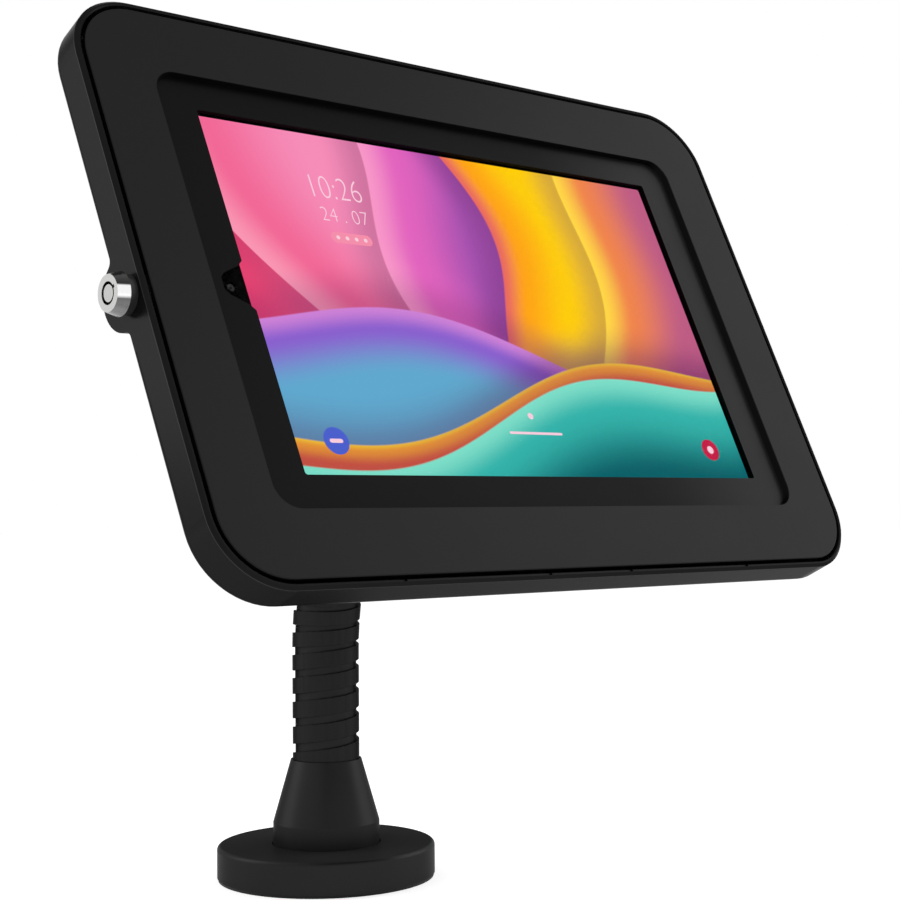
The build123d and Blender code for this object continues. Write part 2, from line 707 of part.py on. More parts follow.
# Places of the joints, printed for the record
swing_axis = panel.from_local_coords((0, (plate_edge + lip_inner) / 2, -swing_axis_depth))
lock_point = panel.from_local_coords((left_face, -lock_drop, -lock_depth))
print("panel origin", panel.origin, "faceplate axis", swing_axis, "lock axis", lock_point)
for number, distance in enumerate(joints_at, 1):
    point, lean = neck_point(distance)
    print(f"neck joint {number}: y {point.Y:.4f} z {point.Z:.4f} lean {lean * 180 / pi:.3f}")
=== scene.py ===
from math import cos, exp, log, pi, radians, sin, tau

import bmesh
import bpy
from mathutils import Matrix, Vector


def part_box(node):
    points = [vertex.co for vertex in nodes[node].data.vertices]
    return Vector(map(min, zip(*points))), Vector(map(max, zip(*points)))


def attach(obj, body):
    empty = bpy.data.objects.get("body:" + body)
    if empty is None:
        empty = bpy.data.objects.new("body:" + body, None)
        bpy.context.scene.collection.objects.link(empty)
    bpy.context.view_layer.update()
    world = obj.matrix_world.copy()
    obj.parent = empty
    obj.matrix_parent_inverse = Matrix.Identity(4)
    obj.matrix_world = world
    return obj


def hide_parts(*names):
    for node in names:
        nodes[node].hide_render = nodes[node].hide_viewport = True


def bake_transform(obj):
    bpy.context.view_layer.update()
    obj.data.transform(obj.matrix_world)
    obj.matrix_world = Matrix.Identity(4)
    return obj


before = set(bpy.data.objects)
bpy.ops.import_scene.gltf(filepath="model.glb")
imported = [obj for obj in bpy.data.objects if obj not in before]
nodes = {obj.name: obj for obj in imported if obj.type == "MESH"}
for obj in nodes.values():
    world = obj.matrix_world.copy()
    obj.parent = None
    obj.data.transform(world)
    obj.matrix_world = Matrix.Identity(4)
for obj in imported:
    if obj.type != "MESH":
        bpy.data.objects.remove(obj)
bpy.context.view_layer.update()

scene = bpy.context.scene
mm = 0.001

# The camera stands in front of the stand's left side, level with its neck, and looks
# 44 degrees to the right with a long lens. Its shift puts the stand where the photograph does.
frame_px = 900
focal_px = 1810
aim_px = (546.6, 510.8)
camera_point = Vector((-446.6, -593.4, 152.3)) * mm
heading, dip, roll = radians(43.95), radians(0.31), radians(0.27)
nearest_seen, farthest_seen = 0.01, 50
ahead = Vector((sin(heading) * cos(dip), cos(heading) * cos(dip), -sin(dip)))
level_right = Vector((cos(heading), -sin(heading), 0))
level_down = ahead.cross(level_right)
image_right = level_right * cos(roll) + level_down * sin(roll)
image_down = level_down * cos(roll) - level_right * sin(roll)
lens = bpy.data.cameras.new("photo_camera")
lens.lens = focal_px / frame_px * lens.sensor_width
lens.shift_x = (frame_px / 2 - aim_px[0]) / frame_px
lens.shift_y = (aim_px[1] - frame_px / 2) / frame_px
lens.clip_start, lens.clip_end = nearest_seen, farthest_seen
camera = bpy.data.objects.new("photo_camera", lens)
turn = Matrix((image_right, -image_down, -ahead)).transposed().to_4x4()
camera.matrix_world = Matrix.Translation(camera_point) @ turn
scene.collection.objects.link(camera)
scene.camera = camera
scene.view_settings.view_transform = "Standard"

# A white room: the world lights the stand softly from everywhere, and what is seen
# directly, in gloss or through glass is plain white.
room_light = 0.55
white = (1, 1, 1, 1)
world = bpy.data.worlds.new("white_room")
scene.world = world
world.use_nodes = True
tree = world.node_tree
tree.nodes.clear()


def seen_share(tree):
    """1 for rays that see something directly, in gloss or through glass, else 0"""
    path = tree.nodes.new("ShaderNodeLightPath")
    total = path.outputs["Is Camera Ray"]
    for name in ("Is Glossy Ray", "Is Transmission Ray"):
        largest = tree.nodes.new("ShaderNodeMath")
        largest.operation = "MAXIMUM"
        tree.links.new(total, largest.inputs[0])
        tree.links.new(path.outputs[name], largest.inputs[1])
        total = largest.outputs[0]
    return total


lit, seen = tree.nodes.new("ShaderNodeBackground"), tree.nodes.new("ShaderNodeBackground")
lit.inputs["Strength"].default_value = room_light
lit.inputs["Color"].default_value = seen.inputs["Color"].default_value = white
choice = tree.nodes.new("ShaderNodeMixShader")
output = tree.nodes.new("ShaderNodeOutputWorld")
tree.links.new(seen_share(tree), choice.inputs["Fac"])
tree.links.new(lit.outputs[0], choice.inputs[1])
tree.links.new(seen.outputs[0], choice.inputs[2])
tree.links.new(choice.outputs[0], output.inputs["Surface"])

# The floor is a pale round sheet that keeps the stand's soft shadow. Where it is seen,
# its own faint light brings it up to the white of the room.
floor_radius = 8.0
floor_corners = 96
floor_glow = 0.62
floor_grey = (0.82, 0.82, 0.82, 1)
floor_roughness = 0.9
sheet = bmesh.new()
bmesh.ops.create_circle(sheet, cap_ends=True, segments=floor_corners, radius=floor_radius)
floor_mesh = bpy.data.meshes.new("floor")
sheet.to_mesh(floor_mesh)
sheet.free()
floor = bpy.data.objects.new("floor", floor_mesh)
scene.collection.objects.link(floor)
floor_paint = bpy.data.materials.new("pale_floor")
floor_paint.use_nodes = True
tree = floor_paint.node_tree
shader = tree.nodes["Principled BSDF"]
shader.inputs["Base Color"].default_value = floor_grey
shader.inputs["Roughness"].default_value = floor_roughness
shader.inputs["Specular IOR Level"].default_value = 0.0
shader.inputs["Emission Color"].default_value = white
glow = tree.nodes.new("ShaderNodeMath")
glow.operation = "MULTIPLY"
glow.inputs[1].default_value = floor_glow
tree.links.new(seen_share(tree), glow.inputs[0])
tree.links.new(glow.outputs[0], shader.inputs["Emission Strength"])
floor_mesh.materials.append(floor_paint)

# Two soft boxes: a wide one on the right, whose glow grows over the faceplate towards its
# right edge and stands on the cone, and one behind on the left for the tray's side.
stand_middle = Vector((0, -60, 170)) * mm


def soft_box(name, towards, distance, width, height, watts):
    """a lit sheet in metres that faces the stand's middle"""
    lamp = bpy.data.lights.new(name, "AREA")
    lamp.shape = "RECTANGLE"
    lamp.size, lamp.size_y, lamp.energy = width, height, watts
    holder = bpy.data.objects.new(name, lamp)
    direction = Vector(towards).normalized()
    holder.location = stand_middle + direction * distance
    holder.rotation_euler = direction.to_track_quat("Z", "Y").to_euler()
    scene.collection.objects.link(holder)


soft_box("soft_box_right", (0.9, -0.25, 0.40), distance=1.5, width=1.3, height=1.3, watts=11)
soft_box("soft_box_left", (-0.62, 0.72, 0.42), distance=1.3, width=0.8, height=1.1, watts=6)

# The foot's plate, the posts and links inside the neck, the screws and the lock's washer,
# nut and cam are turned steel with a pale zinc finish and fine tool marks.
zinc_dark, zinc_light = (0.48, 0.49, 0.50), (0.60, 0.61, 0.62)
tool_mark_size = 0.25
turned = (0.1, 0.1, 1)
ramp_low, ramp_high = 0.3, 0.7


def surface(name, colour, roughness, metallic=0.0, specular=0.5):
    """a material, its nodes and its shader, which holds what is the same all over"""
    material = bpy.data.materials.new(name)
    material.use_nodes = True
    shader = material.node_tree.nodes["Principled BSDF"]
    shader.inputs["Base Color"].default_value = (*colour, 1)
    shader.inputs["Roughness"].default_value = roughness
    shader.inputs["Metallic"].default_value = metallic
    shader.inputs["Specular IOR Level"].default_value = specular
    return material, material.node_tree, shader


def noise(tree, size, stretch=(1, 1, 1), detail=2.0):
    """a noise through the solid, with spots of about a size in mm"""
    place = tree.nodes.new("ShaderNodeTexCoord")
    scaled = tree.nodes.new("ShaderNodeMapping")
    scaled.inputs["Scale"].default_value = stretch
    spots = tree.nodes.new("ShaderNodeTexNoise")
    spots.inputs["Scale"].default_value = 1 / (size * mm)
    spots.inputs["Detail"].default_value = detail
    tree.links.new(place.outputs["Object"], scaled.inputs["Vector"])
    tree.links.new(scaled.outputs["Vector"], spots.inputs["Vector"])
    return spots.outputs["Fac"]


def tint(tree, shader, fac, low, high):
    """colours the surface between two colours by a factor"""
    ramp = tree.nodes.new("ShaderNodeValToRGB")
    first, last = ramp.color_ramp.elements
    first.position, first.color = ramp_low, (*low, 1)
    last.position, last.color = ramp_high, (*high, 1)
    tree.links.new(fac, ramp.inputs["Fac"])
    tree.links.new(ramp.outputs["Color"], shader.inputs["Base Color"])


def wear(tree, shader, fac, low, high):
    """varies the roughness between two values by a factor"""
    span = tree.nodes.new("ShaderNodeMapRange")
    span.inputs["To Min"].default_value, span.inputs["To Max"].default_value = low, high
    tree.links.new(fac, span.inputs["Value"])
    tree.links.new(span.outputs["Result"], shader.inputs["Roughness"])


def relief(tree, shader, fac, height):
    """a bump of a height in mm"""
    bump = tree.nodes.new("ShaderNodeBump")
    bump.inputs["Distance"].default_value = height * mm
    tree.links.new(fac, bump.inputs["Height"])
    tree.links.new(bump.outputs["Normal"], shader.inputs["Normal"])


def dress(material, *names):
    """gives pieces of the solid model a material"""
    for name in names:
        nodes[name].data.materials.clear()
        nodes[name].data.materials.append(material)


zinc, tree, shader = surface("zinc_steel", zinc_dark, 0.35, metallic=1.0)
tint(tree, shader, noise(tree, 3), zinc_dark, zinc_light)
wear(tree, shader, noise(tree, 0.3, stretch=turned), 0.28, 0.42)
relief(tree, shader, noise(tree, tool_mark_size, stretch=turned), 0.01)
neck_links = [name for name in nodes if name.startswith("neck_link_")]
dress(zinc, "foot_plate", "neck_socket", "head_stem", "socket_screws", "stem_screws",
      "flange_screws", "lock_washer", "lock_nut", "lock_cam", "cam_screw", *neck_links)

# The ring under the foot and the two bushes round the cable are black rubber, moulded
# with a dull, finely pitted skin, and pushed into place.
rubber, tree, shader = surface("black_rubber", (0.012, 0.012, 0.012), 0.6, specular=0.2)
tint(tree, shader, noise(tree, 8), (0.010, 0.010, 0.010), (0.015, 0.015, 0.015))
relief(tree, shader, noise(tree, 0.4), 0.03)
dress(rubber, "foot_seal", "foot_grommet", "tray_grommet")

# The two cone ferrules of the neck and the flange behind the tray are turned steel with a
# satin black powder coat: a fine even grain, and metal flake under the film.
coat_dark, coat_light = (0.024, 0.024, 0.0245), (0.028, 0.028, 0.0285)
coat_flake = 0.6
satin_smooth, satin_rough = 0.34, 0.42
cloud_size = 60


def black_coat(name, grazing, smooth, rough):
    """satin black powder coat, whose gloss at a flat angle is a share of bare metal's"""
    coat, tree, shader = surface(name, coat_dark, rough, metallic=coat_flake, specular=0.0)
    shader.inputs["Specular Tint"].default_value = (grazing, grazing, grazing, 1)
    wear(tree, shader, noise(tree, 25), smooth, rough)
    relief(tree, shader, noise(tree, 0.6, detail=3), 0.012)
    return coat, tree, shader


coat, tree, shader = black_coat("satin_black_coat", grazing=0.48,
                                smooth=satin_smooth, rough=satin_rough)
tint(tree, shader, noise(tree, cloud_size), coat_dark, coat_light)
dress(coat, "foot_ferrule", "head_ferrule", "mount_flange")

# The foot's cover is a turned steel disc with the same coat, sprayed from the side: its
# flat top has caught less of the flake, and shines less.
sloped, level = 0.8, 1.0
top_flake = 0.05
cover_coat, tree, shader = black_coat("foot_cover_coat", grazing=0.55,
                                      smooth=satin_smooth, rough=satin_rough)
tint(tree, shader, noise(tree, cloud_size), coat_dark, coat_light)
facing, parts = tree.nodes.new("ShaderNodeNewGeometry"), tree.nodes.new("ShaderNodeSeparateXYZ")
flake = tree.nodes.new("ShaderNodeMapRange")
flake.inputs["From Min"].default_value, flake.inputs["From Max"].default_value = sloped, level
flake.inputs["To Min"].default_value = coat_flake
flake.inputs["To Max"].default_value = top_flake
tree.links.new(facing.outputs["True Normal"], parts.inputs["Vector"])
tree.links.new(parts.outputs["Z"], flake.inputs["Value"])
tree.links.new(flake.outputs["Result"], shader.inputs["Metallic"])
dress(cover_coat, "foot_cover")

# The hose over the links is matte black rubber, pushed into both ferrules. It shows as the
# floor of the groove between the turns. It is built as one sleeve for each joint.
ferrule_top = 48.0
straight_rise = 43.0
bend_radius = 127.4
bend_angle = radians(64)
neck_length = straight_rise + bend_radius * bend_angle
joint_count = 12
joint_pitch = neck_length / joint_count
tuck = 4.0
hose_outer, hose_inner = 12.4, 10.6
hose_rings, hose_sides = 9, 64
bend_span = (0.18, 0.82)
same_corner = 0.0001
sharp_edge = radians(30)


def neck_frame(distance):
    """the point, the direction along the neck and the direction towards its back"""
    lean = min(max(distance - straight_rise, 0) / bend_radius, bend_angle)
    along, back = Vector((0, -sin(lean), cos(lean))), Vector((0, cos(lean), sin(lean)))
    rise = ferrule_top + straight_rise + bend_radius * sin(lean)
    point = Vector((0, -bend_radius * (1 - cos(lean)), rise))
    if lean == 0:
        point.z = ferrule_top + distance
    elif distance > neck_length:
        point += along * (distance - neck_length)
    return point, along, back


def neck_point(distance, angle, radius, side=0.0):
    """a point round the neck, in metres: angle from +X towards the back"""
    point, along, back = neck_frame(distance)
    outwards = Vector((1, 0, 0)) * radius * cos(angle) + back * radius * sin(angle)
    return (point + outwards + along * side) * mm


def joined_rings(name, rings, material):
    """a closed solid through rings with the same number of points"""
    count = len(rings[0])
    faces = []
    for start in range(0, (len(rings) - 1) * count, count):
        for j in range(count):
            after = (j + 1) % count
            faces.append([start + j, start + after, start + count + after, start + count + j])
    if rings[0] != rings[-1]:
        last = (len(rings) - 1) * count
        faces += [list(range(count))[::-1], list(range(last, last + count))]
    mesh = bpy.data.meshes.new(name)
    mesh.from_pydata([p for ring in rings for p in ring], [], faces)
    solid = bmesh.new()
    solid.from_mesh(mesh)
    bmesh.ops.remove_doubles(solid, verts=solid.verts, dist=same_corner * mm)
    bmesh.ops.recalc_face_normals(solid, faces=solid.faces)
    solid.to_mesh(mesh)
    solid.free()
    mesh.shade_smooth()
    mesh.set_sharp_from_angle(angle=sharp_edge)
    mesh.materials.append(material)
    piece = bpy.data.objects.new(name, mesh)
    scene.collection.objects.link(piece)
    return piece


def bend_with_joint(piece, number, node):
    """bakes one stretch of the neck into place and hides the solid model's piece that it replaces
    """
    ends = [neck_frame(joint_pitch * (number + share))[0] * mm for share in bend_span]
    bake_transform(piece)
    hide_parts(node)


hose_dark, hose_light = (0.023, 0.023, 0.0235), (0.027, 0.027, 0.0275)
groove, tree, shader = surface("hose_black", hose_dark, 0.42, metallic=0.6, specular=0.0)
shader.inputs["Specular Tint"].default_value = (0.3, 0.3, 0.3, 1)
tint(tree, shader, noise(tree, 12), hose_dark, hose_light)
relief(tree, shader, noise(tree, 0.5), 0.02)
for number in range(joint_count):
    low = -tuck if number == 0 else joint_pitch * number
    high = neck_length + tuck if number == joint_count - 1 else joint_pitch * (number + 1)
    marks = [low + (high - low) * i / (hose_rings - 1) for i in range(hose_rings)]
    spots = [tau * j / hose_sides for j in range(hose_sides)]
    outside = [[neck_point(mark, angle, hose_outer) for angle in spots] for mark in marks]
    inside = [[neck_point(mark, angle, hose_inner) for angle in spots] for mark in reversed(marks)]
    sleeve = joined_rings(f"neck_hose_{number + 1:02d}", outside + inside + outside[:1], groove)
    bend_with_joint(sleeve, number, "neck_hose")

# A flat coated steel strip is wound round the hose, right-handed, and grips it. Its turns
# lie closer towards the top, and the groove between them is a third of each turn.
strip_outer, strip_inner, strip_edge = 13.5, 12.42, 0.1
pitch_low, pitch_high, pitch_run = 10.8, 8.0, 70.0
pitch_fall = (pitch_low - pitch_high) / pitch_run
turns_in_run = log(pitch_low / pitch_high) / pitch_fall
band_share = 0.68
start_angle = radians(178)
steps_per_turn = 72
strip_dark, strip_light = (0.020, 0.020, 0.0205), (0.023, 0.023, 0.0235)
along_neck = (1, 1, 0.04)
strip_coat, tree, shader = surface("strip_coat", strip_dark, 0.36, metallic=0.6, specular=0.0)
shader.inputs["Specular Tint"].default_value = (0.4, 0.4, 0.4, 1)
tint(tree, shader, noise(tree, 1.6, stretch=along_neck), strip_dark, strip_light)
wear(tree, shader, noise(tree, 1.2, stretch=along_neck), 0.3, 0.4)
relief(tree, shader, noise(tree, 0.5), 0.01)


def strip_turns(distance):
    """how many turns the strip's middle has made at a distance along the neck"""
    if distance < pitch_run:
        return -log(1 - distance * pitch_fall / pitch_low) / pitch_fall
    return turns_in_run + (distance - pitch_run) / pitch_high


def strip_ring(turns):
    """the strip's cross-section, with broken edges"""
    if turns < turns_in_run:
        distance = pitch_low / pitch_fall * (1 - exp(-pitch_fall * turns))
    else:
        distance = pitch_run + (turns - turns_in_run) * pitch_high
    pitch = max(pitch_high, pitch_low - pitch_fall * distance)
    half, angle = band_share * pitch / 2, start_angle + tau * turns
    edge_radius, edge_half = strip_outer - strip_edge, half - strip_edge
    outline = [(strip_inner, -half), (edge_radius, -half), (strip_outer, -edge_half),
               (strip_outer, edge_half), (edge_radius, half), (strip_inner, half)]
    return [neck_point(distance, angle, radius, side) for radius, side in outline]


for number in range(joint_count):
    low = -tuck / 2 if number == 0 else joint_pitch * number
    high = neck_length + tuck / 2 if number == joint_count - 1 else joint_pitch * (number + 1)
    first, last = strip_turns(low), strip_turns(high)
    steps = int((last - first) * steps_per_turn)
    rings = [strip_ring(first + (last - first) * i / steps) for i in range(steps + 1)]
    band = joined_rings(f"neck_strip_{number + 1:02d}", rings, strip_coat)
    bend_with_joint(band, number, "neck_coil")

# The tray is folded and welded from sheet steel, ground smooth and coated like the foot,
# with a smoother skin. Its lip is painted darker as painted shade, and a painted highlight, a thin
# light line, runs along the bend behind.
tilt = radians(26)
up = Vector((0, sin(tilt), cos(tilt)))
out = Vector((0, -cos(tilt), sin(tilt)))
face_front = max(v.co.dot(out) for v in nodes["faceplate"].data.vertices)
# painted shade on the lip's first mm, then a painted highlight line, by depth below the faceplate's
# front
lip_painted_shade_and_highlight = [(0, 0.013), (1.0, 0.045), (1.25, 0.019), (20, 0.019)]


def grey_ramp(tree, fac, steps, interpolation="LINEAR", blueness=1.0):
    """greys by a factor: each step is a length and a grey, and the last length is the whole"""
    ramp = tree.nodes.new("ShaderNodeValToRGB")
    ramp.color_ramp.interpolation = interpolation
    for number, (length, grey) in enumerate(steps):
        if number > 1:
            ramp.color_ramp.elements.new(length / steps[-1][0])
        ramp.color_ramp.elements[number].position = length / steps[-1][0]
        ramp.color_ramp.elements[number].color = (grey, grey, grey * blueness, 1)
    tree.links.new(fac, ramp.inputs["Fac"])
    return ramp.outputs["Color"]


def depth_steps(tree, steps):
    """a grey for each depth below the faceplate's front, in mm, held until the next one"""
    place = tree.nodes.new("ShaderNodeTexCoord")
    dot = tree.nodes.new("ShaderNodeVectorMath")
    dot.operation = "DOT_PRODUCT"
    dot.inputs[1].default_value = out
    depth = tree.nodes.new("ShaderNodeMapRange")
    depth.inputs["From Min"].default_value = face_front
    depth.inputs["From Max"].default_value = face_front - steps[-1][0] * mm
    tree.links.new(place.outputs["Object"], dot.inputs[0])
    tree.links.new(dot.outputs["Value"], depth.inputs["Value"])
    return grey_ramp(tree, depth.outputs["Result"], steps, interpolation="CONSTANT")


tray_coat, tree, shader = black_coat("tray_coat", grazing=0.48, smooth=0.2, rough=0.26)
tree.links.new(depth_steps(tree, lip_painted_shade_and_highlight), shader.inputs["Base Color"])
dress(tray_coat, "rear_tray")

# Pads of dark closed-cell foam, cut with soft edges and stuck to the tray's floor, hold
# the tablet at its back, its corners and its edges.
foam_edge = 0.7
foam_edge_steps = 3
same_point = 0.01
same_plane, cut_corner, foam_sharp = radians(1), radians(40), radians(50)
foam, tree, shader = surface("dark_foam", (0.03, 0.03, 0.032), 0.95, specular=0.1)
tint(tree, shader, noise(tree, 1.2), (0.02, 0.02, 0.021), (0.045, 0.045, 0.048))
relief(tree, shader, noise(tree, 0.8, detail=4), 0.2)
for name in ("back_pads", "corner_pads", "edge_pads"):
    cut = bmesh.new()
    cut.from_mesh(nodes[name].data)
    bmesh.ops.remove_doubles(cut, verts=cut.verts, dist=same_point * mm)
    bmesh.ops.dissolve_limit(cut, angle_limit=same_plane, verts=cut.verts, edges=cut.edges)
    corners = [e for e in cut.edges if len(e.link_faces) == 2 and e.calc_face_angle() > cut_corner]
    bmesh.ops.bevel(cut, geom=corners, offset=foam_edge * mm, segments=foam_edge_steps, profile=0.5,
                    affect="EDGES", clamp_overlap=True)
    mesh = bpy.data.meshes.new(f"foam_{name}")
    cut.to_mesh(mesh)
    cut.free()
    mesh.shade_smooth()
    mesh.set_sharp_from_angle(angle=foam_sharp)
    mesh.materials.append(foam)
    pads = bpy.data.objects.new(f"foam_{name}", mesh)
    scene.collection.objects.link(pads)
    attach(pads, "head")
    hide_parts(name)

# The plug of the tubular lock turns with its key inside the barrel. It is nickel-plated
# steel, turned with fine rings on its face, and carries the cam at its other end.
lock_low, lock_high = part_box("lock_seat")
lock_middle = (lock_low + lock_high) / 2


def distance_from(tree, middle, counted):
    """the distance from a point, or from an axis through it where a direction isn't counted"""
    place = tree.nodes.new("ShaderNodeTexCoord")
    centred = tree.nodes.new("ShaderNodeVectorMath")
    centred.operation = "SUBTRACT"
    centred.inputs[1].default_value = middle
    flat = tree.nodes.new("ShaderNodeVectorMath")
    flat.operation = "MULTIPLY"
    flat.inputs[1].default_value = counted
    radius = tree.nodes.new("ShaderNodeVectorMath")
    radius.operation = "LENGTH"
    tree.links.new(place.outputs["Object"], centred.inputs[0])
    tree.links.new(centred.outputs["Vector"], flat.inputs[0])
    tree.links.new(flat.outputs["Vector"], radius.inputs[0])
    return radius.outputs["Value"]


def lock_rings(tree, size):
    """fine turned rings about the lock's axis, which runs along X"""
    rings = tree.nodes.new("ShaderNodeTexNoise")
    rings.noise_dimensions = "1D"
    rings.inputs["Scale"].default_value = 1 / (size * mm)
    rings.inputs["Detail"].default_value = 3.0
    tree.links.new(distance_from(tree, lock_middle, (0, 1, 1)), rings.inputs["W"])
    return rings.outputs["Fac"]


nickel_dark, nickel_light = (0.17, 0.17, 0.167), (0.21, 0.21, 0.206)
nickel, tree, shader = surface("turned_nickel", nickel_dark, 0.3, metallic=1.0)
tint(tree, shader, lock_rings(tree, 0.35), nickel_dark, nickel_light)
wear(tree, shader, lock_rings(tree, 0.2), 0.24, 0.36)
relief(tree, shader, lock_rings(tree, 0.2), 0.004)
dress(nickel, "lock_plug")

# The barrel is nickel-plated too, and its nut holds it in the tray's left wall. Its sloped
# side carries a painted reflection: a bright band painted along it, dark above and grey below.
barrel_half = 7.1
# painted reflection: a grey for each height across the barrel's side, from its bottom (0) to its
# top (1)
painted_reflection_bands = [(0, 0.18), (0.15, 0.20), (0.36, 0.12), (0.43, 0.9),
              (0.64, 0.9), (0.68, 0.03), (0.88, 0.06), (1, 0.10)]
end_nickel = (0.19, 0.19, 0.187)
side_facing, end_facing = -0.8, -0.95
first_colour, second_colour, mixed_colour = 6, 7, 2
painted_reflection_nickel, tree, shader = surface("nickel_painted_reflection", end_nickel, 0.25, metallic=1.0)
place, apart = tree.nodes.new("ShaderNodeTexCoord"), tree.nodes.new("ShaderNodeSeparateXYZ")
height = tree.nodes.new("ShaderNodeMapRange")
height.inputs["From Min"].default_value = lock_middle.z - barrel_half * mm
height.inputs["From Max"].default_value = lock_middle.z + barrel_half * mm
turned_face = tree.nodes.new("ShaderNodeNewGeometry")
facing = tree.nodes.new("ShaderNodeSeparateXYZ")
flat_end = tree.nodes.new("ShaderNodeMapRange")
flat_end.inputs["From Min"].default_value = side_facing
flat_end.inputs["From Max"].default_value = end_facing
ends = tree.nodes.new("ShaderNodeMix")
ends.data_type = "RGBA"
ends.inputs[second_colour].default_value = (*end_nickel, 1)
tree.links.new(place.outputs["Object"], apart.inputs["Vector"])
tree.links.new(apart.outputs["Z"], height.inputs["Value"])
painted_reflection_greys = grey_ramp(tree, height.outputs["Result"], painted_reflection_bands)
tree.links.new(turned_face.outputs["True Normal"], facing.inputs["Vector"])
tree.links.new(facing.outputs["X"], flat_end.inputs["Value"])
tree.links.new(flat_end.outputs["Result"], ends.inputs["Factor"])
tree.links.new(painted_reflection_greys, ends.inputs[first_colour])
tree.links.new(ends.outputs[mixed_colour], shader.inputs["Base Color"])
wear(tree, shader, lock_rings(tree, 0.2), 0.2, 0.32)
relief(tree, shader, lock_rings(tree, 0.2), 0.004)
dress(painted_reflection_nickel, "lock_barrel")

# The barrel's rim rests on a spacer of black plastic, moulded with a fine grain, that is
# clamped against the tray's wall.
seat_skin, tree, shader = surface("lock_seat_plastic", (0.03, 0.03, 0.03), 0.4, specular=0.3)
tint(tree, shader, noise(tree, 5), (0.028, 0.028, 0.028), (0.034, 0.034, 0.034))
relief(tree, shader, noise(tree, 0.4), 0.01)
dress(seat_skin, "lock_seat")

# The tablet's back is a dark anodised shell with a fine blast, milled from one piece of
# aluminium. Its two sprung keys sit in slots in the upper edge.
anodised, tree, shader = surface("anodised_shell", (0.10, 0.105, 0.115), 0.42, metallic=0.9)
tint(tree, shader, noise(tree, 20), (0.09, 0.095, 0.105), (0.11, 0.115, 0.125))
relief(tree, shader, noise(tree, 0.15, detail=3), 0.008)
dress(anodised, "tablet_housing", "power_button", "volume_button")

# Inside the tablet, where nobody looks: a pressed backing behind the display, two wrapped
# cells and a board with green solder mask, all stuck down.
backing, tree, shader = surface("pressed_backing", (0.45, 0.45, 0.46), 0.4, metallic=1.0)
tint(tree, shader, noise(tree, 10, stretch=(0.1, 1, 1)), (0.4, 0.4, 0.41), (0.5, 0.5, 0.51))
dress(backing, "display_tray")
wrap, tree, shader = surface("cell_wrap", (0.03, 0.03, 0.034), 0.35)
tint(tree, shader, noise(tree, 15), (0.026, 0.026, 0.03), (0.036, 0.036, 0.042))
relief(tree, shader, noise(tree, 6), 0.08)
dress(wrap, "tablet_battery")
mask_dark, mask_light = (0.006, 0.06, 0.022), (0.02, 0.14, 0.055)
mask, tree, shader = surface("solder_mask", mask_dark, 0.3)
tint(tree, shader, noise(tree, 2, stretch=(1, 0.15, 0.15)), mask_dark, mask_light)
dress(mask, "main_board")

# The front camera's little lens shows through a hole in the border: a grey ring round a
# black middle, in a moulded black barrel.
lens_low, lens_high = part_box("front_camera")
lens_rings = [(0, 0.001), (0.42, 0.001), (0.55, 0.024), (1.1, 0.022), (1.3, 0.003), (3.0, 0.004)]
lens_blueness = 1.1
lens_glass, tree, shader = surface("camera_lens", (0.006, 0.006, 0.01), 0.3, specular=0.1)
reach = tree.nodes.new("ShaderNodeMapRange")
reach.inputs["From Max"].default_value = lens_rings[-1][0] * mm
lens_front = (lens_low + lens_high) / 2
lens_depth = max(v.co.dot(out) for v in nodes["front_camera"].data.vertices)
lens_front += out * (lens_depth - lens_front.dot(out))
tree.links.new(distance_from(tree, lens_front, (1, 1, 1)), reach.inputs["Value"])
rings = grey_ramp(tree, reach.outputs["Result"], lens_rings, blueness=lens_blueness)
tree.links.new(rings, shader.inputs["Base Color"])
dress(lens_glass, "front_camera")

# The cover glass has a coating against glare. The black border is printed on its back, in
# two passes of matte ink.
coated_glass_ior = 1.02
cover, tree, shader = surface("cover_glass", (1, 1, 1), 0.02)
shader.inputs["Transmission Weight"].default_value = 1.0
shader.inputs["IOR"].default_value = coated_glass_ior
wear(tree, shader, noise(tree, 40), 0.0, 0.02)
dress(cover, "tablet_glass")
border, tree, shader = surface("black_border_print", (0.003, 0.003, 0.003), 0.5, specular=0.0)
tint(tree, shader, noise(tree, 3), (0.002, 0.002, 0.002), (0.004, 0.004, 0.004))
dress(border, "glass_border")

# The lit display shows a generic picture: broad soft folds from pink through violet to
# orange, over teal, worked out from lengths across and up the display.
display_low, display_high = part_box("display_panel")
display_middle = (display_low + display_high) / 2
half_height = 68.0 * mm
unlit = (0.0, 0.0, 0.0)
screen, tree, shader = surface("lit_display", unlit, 0.5, specular=0.0)


def feed(socket, value):
    """gives a socket a value, or another node's result"""
    if isinstance(value, bpy.types.NodeSocket):
        tree.links.new(value, socket)
    else:
        socket.default_value = value


def math_node(operation, first, second=0.0, third=0.0):
    """a sum of values and other nodes' results"""
    node = tree.nodes.new("ShaderNodeMath")
    node.operation = operation
    for socket, value in zip(node.inputs, (first, second, third)):
        feed(socket, value)
    return node.outputs[0]


def length_along(direction):
    """a coordinate across the display in half heights, from its middle"""
    place = tree.nodes.new("ShaderNodeTexCoord")
    dot = tree.nodes.new("ShaderNodeVectorMath")
    dot.operation = "DOT_PRODUCT"
    dot.inputs[1].default_value = direction / half_height
    tree.links.new(place.outputs["Object"], dot.inputs[0])
    return math_node("SUBTRACT", dot.outputs["Value"], display_middle.dot(direction) / half_height)


across, upward = length_along(Vector((1, 0, 0))), length_along(up)


def mixed(fac, low, high):
    """a colour between two, each a colour or another node's colour"""
    node = tree.nodes.new("ShaderNodeMix")
    node.data_type = "RGBA"
    feed(node.inputs["Factor"], fac)
    feed(node.inputs[first_colour], low)
    feed(node.inputs[second_colour], high)
    return node.outputs[mixed_colour]


